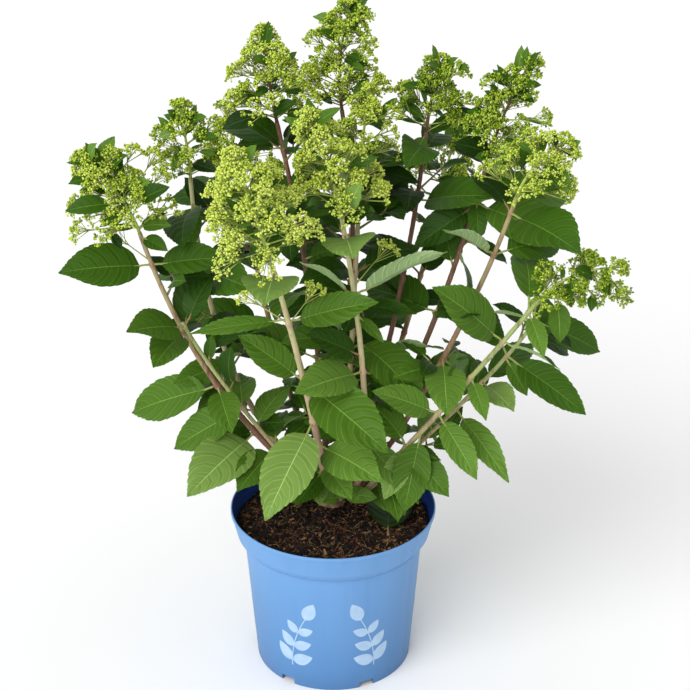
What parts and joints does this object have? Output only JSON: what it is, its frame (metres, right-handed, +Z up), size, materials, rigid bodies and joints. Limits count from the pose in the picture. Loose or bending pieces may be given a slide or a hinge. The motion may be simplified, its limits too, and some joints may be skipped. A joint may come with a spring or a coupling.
{
  "type": "potted panicle hydrangea",
  "caption": "Leafy flowering shrub with upright canes and cone-shaped heads of green buds, growing in a round tapered nursery pot.",
  "frame": {"origin": "middle of the pot's flat underside", "axes": "+Z up along the pot's axis, -Y towards the front that the picture shows, +X to the right of that view"},
  "size_m": [0.5708, 0.4583, 0.7304],
  "materials": {
    "pot_blue": "satin moulded plastic",
    "compost_brown": "loose bark compost",
    "stump_bark": "rough flaking bark",
    "cane_bark": "smooth thin bark",
    "leaf_green": "matt leaf",
    "bud_lime": "matt buds"
  },
  "bodies": {
    "root": {"cane_centre_left": "cane_bark", "cane_centre_right": "cane_bark", "cane_far_left": "cane_bark", "cane_front_left": "cane_bark", "cane_front_middle": "cane_bark", "cane_left_back": "cane_bark", "cane_left_thin": "cane_bark", "cane_middle": "cane_bark", "cane_rear_left": "cane_bark", "cane_rear_right": "cane_bark", "cane_rear_thin": "cane_bark", "cane_right": "cane_bark", "cane_right_back": "cane_bark", "cane_right_low": "cane_bark", "cane_right_thin": "cane_bark", "cane_tall_back": "cane_bark", "foliage_centre_left": "leaf_green", "foliage_centre_right": "leaf_green", "foliage_far_left": "leaf_green", "foliage_front_left": "leaf_green", "foliage_front_middle": "leaf_green", "foliage_left_back": "leaf_green", "foliage_left_thin": "leaf_green", "foliage_low_back": "leaf_green", "foliage_low_front": "leaf_green", "foliage_low_left": "leaf_green", "foliage_low_right": "leaf_green", "foliage_middle": "leaf_green", "foliage_rear_left": "leaf_green", "foliage_rear_right": "leaf_green", "foliage_rear_thin": "leaf_green", "foliage_right": "leaf_green", "foliage_right_back": "leaf_green", "foliage_right_low": "leaf_green", "foliage_right_thin": "leaf_green", "foliage_tall_back": "leaf_green", "panicle_centre_left": "bud_lime", "panicle_centre_right": "bud_lime", "panicle_far_left": "bud_lime", "panicle_front_left": "bud_lime", "panicle_front_middle": "bud_lime", "panicle_left_back": "bud_lime", "panicle_middle": "bud_lime", "panicle_rear_left": "bud_lime", "panicle_rear_right": "bud_lime", "panicle_right": "bud_lime", "panicle_right_back": "bud_lime", "panicle_right_low": "bud_lime", "panicle_tall_back": "bud_lime", "pot": "pot_blue", "soil": "compost_brown", "stump": "stump_bark"}
  },
  "joints": []
}
